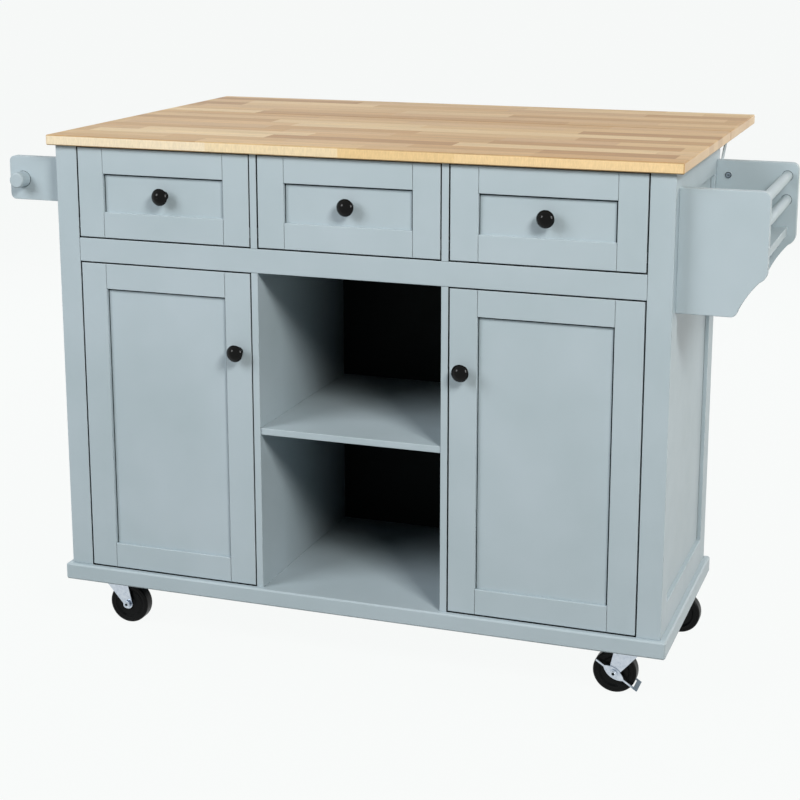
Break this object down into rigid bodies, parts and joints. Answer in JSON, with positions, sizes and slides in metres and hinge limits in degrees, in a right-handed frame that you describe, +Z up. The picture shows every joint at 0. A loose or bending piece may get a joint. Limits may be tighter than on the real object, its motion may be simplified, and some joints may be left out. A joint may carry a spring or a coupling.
{
  "type": "kitchen cart",
  "caption": "Rolling kitchen island with wood worktop, drop leaf, drawers, cupboards, open bay, spice rack and towel bar.",
  "frame": {"origin": "on the floor under the middle of the whole outline, with the leaf raised and everything shut", "axes": "+Z up; the drawers and doors face -Y; the drop leaf is at +Y; the spice rack is at +X and the towel bar at -X"},
  "size_m": [1.35, 0.765, 0.92],
  "materials": {
    "worktop_wood": "edge-glued rubberwood under clear satin lacquer",
    "body_paint": "grey-blue satin paint on fibreboard and wood",
    "drawer_board": "pale foil-faced board",
    "knob_black": "gloss black enamel on zinc",
    "runner_steel": "cream powder coat",
    "pin_steel": "nickel plate",
    "hinge_steel": "nickel plate",
    "catch_plastic": "white moulded plastic",
    "cam_zinc": "bright zinc casting",
    "brace_paint": "grey-blue paint on steel strip",
    "caster_zinc": "bright zinc plate",
    "wheel_rubber": "black solid rubber"
  },
  "bodies": {
    "cabinet": {"top_board": "worktop_wood", "base_board": "body_paint", "corner_posts": "body_paint", "side_rails": "body_paint", "side_panels": "body_paint", "dividers": "body_paint", "mid_rail": "body_paint", "top_stretchers": "body_paint", "back_panel": "body_paint", "centre_shelf": "body_paint", "cupboard_shelves": "body_paint", "rack_plates": "body_paint", "rack_shelf": "body_paint", "rack_dowels": "body_paint", "towel_plates": "body_paint", "towel_rod": "body_paint", "shelf_pins": "pin_steel", "drawer_runners": "runner_steel", "door_hinge_arms": "hinge_steel", "door_catches": "catch_plastic", "leaf_hinge_fixed": "hinge_steel", "brace_wall_brackets": "brace_paint", "rack_cams": "cam_zinc", "caster_plates": "caster_zinc"},
    "drawer_left": {"drawer_front_left": "body_paint", "drawer_knob_left": "knob_black", "drawer_box_left": "drawer_board", "drawer_bars_left": "runner_steel"},
    "drawer_centre": {"drawer_front_centre": "body_paint", "drawer_knob_centre": "knob_black", "drawer_box_centre": "drawer_board", "drawer_bars_centre": "runner_steel"},
    "drawer_right": {"drawer_front_right": "body_paint", "drawer_knob_right": "knob_black", "drawer_box_right": "drawer_board", "drawer_bars_right": "runner_steel"},
    "door_left": {"door_frame_left": "body_paint", "door_panel_left": "body_paint", "door_knob_left": "knob_black", "hinge_cups_left": "hinge_steel"},
    "door_right": {"door_frame_right": "body_paint", "door_panel_right": "body_paint", "door_knob_right": "knob_black", "hinge_cups_right": "hinge_steel"},
    "leaf": {"leaf_board": "worktop_wood", "leaf_hinge_moving": "hinge_steel", "brace_leaf_brackets": "brace_paint"},
    "brace_lower": {"brace_lower_links": "brace_paint"},
    "brace_upper": {"brace_upper_links": "brace_paint"},
    "fork_front_left": {"caster_fork_front_left": "caster_zinc"},
    "wheel_front_left": {"caster_wheel_front_left": "wheel_rubber"},
    "fork_front_right": {"caster_fork_front_right": "caster_zinc"},
    "wheel_front_right": {"caster_wheel_front_right": "wheel_rubber"},
    "fork_rear_left": {"caster_fork_rear_left": "caster_zinc"},
    "wheel_rear_left": {"caster_wheel_rear_left": "wheel_rubber"},
    "fork_rear_right": {"caster_fork_rear_right": "caster_zinc"},
    "wheel_rear_right": {"caster_wheel_rear_right": "wheel_rubber"},
    "pedal_front_right": {"brake_pedal_front_right": "caster_zinc"},
    "pedal_rear_left": {"brake_pedal_rear_left": "caster_zinc"}
  },
  "joints": [
    {"name": "drawer_left_slide", "type": "slide", "parent": "cabinet", "child": "drawer_left", "axis": [0, -1, 0], "range_m": [0, 0.26]},
    {"name": "drawer_centre_slide", "type": "slide", "parent": "cabinet", "child": "drawer_centre", "axis": [0, -1, 0], "range_m": [0, 0.26]},
    {"name": "drawer_right_slide", "type": "slide", "parent": "cabinet", "child": "drawer_right", "axis": [0, -1, 0], "range_m": [0, 0.26]},
    {"name": "door_left_hinge", "type": "hinge", "parent": "cabinet", "child": "door_left", "pos_m": [-0.513, -0.3515, 0.1285], "axis": [0, 0, -1], "range_deg": [0, 105]},
    {"name": "door_right_hinge", "type": "hinge", "parent": "cabinet", "child": "door_right", "pos_m": [0.481, -0.3515, 0.1285], "axis": [0, 0, 1], "range_deg": [0, 105]},
    {"name": "leaf_hinge", "type": "hinge", "parent": "cabinet", "child": "leaf", "pos_m": [-0.016, 0.088, 0.8985], "axis": [1, 0, 0], "range_deg": [-90, 0]},
    {"name": "brace_lower_pivot", "type": "hinge", "parent": "cabinet", "child": "brace_lower", "pos_m": [-0.016, 0.0685, 0.7485], "axis": [1, 0, 0], "range_deg": [-0.2, 47.56]},
    {"name": "brace_upper_pivot", "type": "hinge", "parent": "leaf", "child": "brace_upper", "pos_m": [-0.016, 0.238, 0.8905], "axis": [1, 0, 0], "range_deg": [-37.47, 0.5]},
    {"name": "swivel_front_left", "type": "hinge", "parent": "cabinet", "child": "fork_front_left", "pos_m": [-0.507, -0.2955, 0.096], "axis": [0, 0, 1], "continuous": true},
    {"name": "roll_front_left", "type": "hinge", "parent": "fork_front_left", "child": "wheel_front_left", "pos_m": [-0.479, -0.2955, 0.038], "axis": [0, 1, 0], "continuous": true},
    {"name": "swivel_front_right", "type": "hinge", "parent": "cabinet", "child": "fork_front_right", "pos_m": [0.475, -0.2955, 0.096], "axis": [0, 0, 1], "continuous": true},
    {"name": "roll_front_right", "type": "hinge", "parent": "fork_front_right", "child": "wheel_front_right", "pos_m": [0.447, -0.2955, 0.038], "axis": [0, 1, 0], "continuous": true},
    {"name": "brake_front_right", "type": "hinge", "parent": "fork_front_right", "child": "pedal_front_right", "pos_m": [0.447, -0.2955, 0.038], "axis": [0, 1, 0], "range_deg": [0, 12]},
    {"name": "swivel_rear_left", "type": "hinge", "parent": "cabinet", "child": "fork_rear_left", "pos_m": [-0.507, -0.0015, 0.096], "axis": [0, 0, 1], "continuous": true},
    {"name": "roll_rear_left", "type": "hinge", "parent": "fork_rear_left", "child": "wheel_rear_left", "pos_m": [-0.479, -0.0015, 0.038], "axis": [0, 1, 0], "continuous": true},
    {"name": "brake_rear_left", "type": "hinge", "parent": "fork_rear_left", "child": "pedal_rear_left", "pos_m": [-0.479, -0.0015, 0.038], "axis": [0, -1, 0], "range_deg": [0, 12]},
    {"name": "swivel_rear_right", "type": "hinge", "parent": "cabinet", "child": "fork_rear_right", "pos_m": [0.475, -0.0015, 0.096], "axis": [0, 0, 1], "continuous": true},
    {"name": "roll_rear_right", "type": "hinge", "parent": "fork_rear_right", "child": "wheel_rear_right", "pos_m": [0.503, -0.0015, 0.038], "axis": [0, 1, 0], "continuous": true}
  ],
  "couplings": [
    {"joint": "brace_lower_pivot", "follows": "leaf_hinge", "ratio": -0.52293},
    {"joint": "brace_upper_pivot", "follows": "leaf_hinge", "ratio": 0.41082}
  ]
}
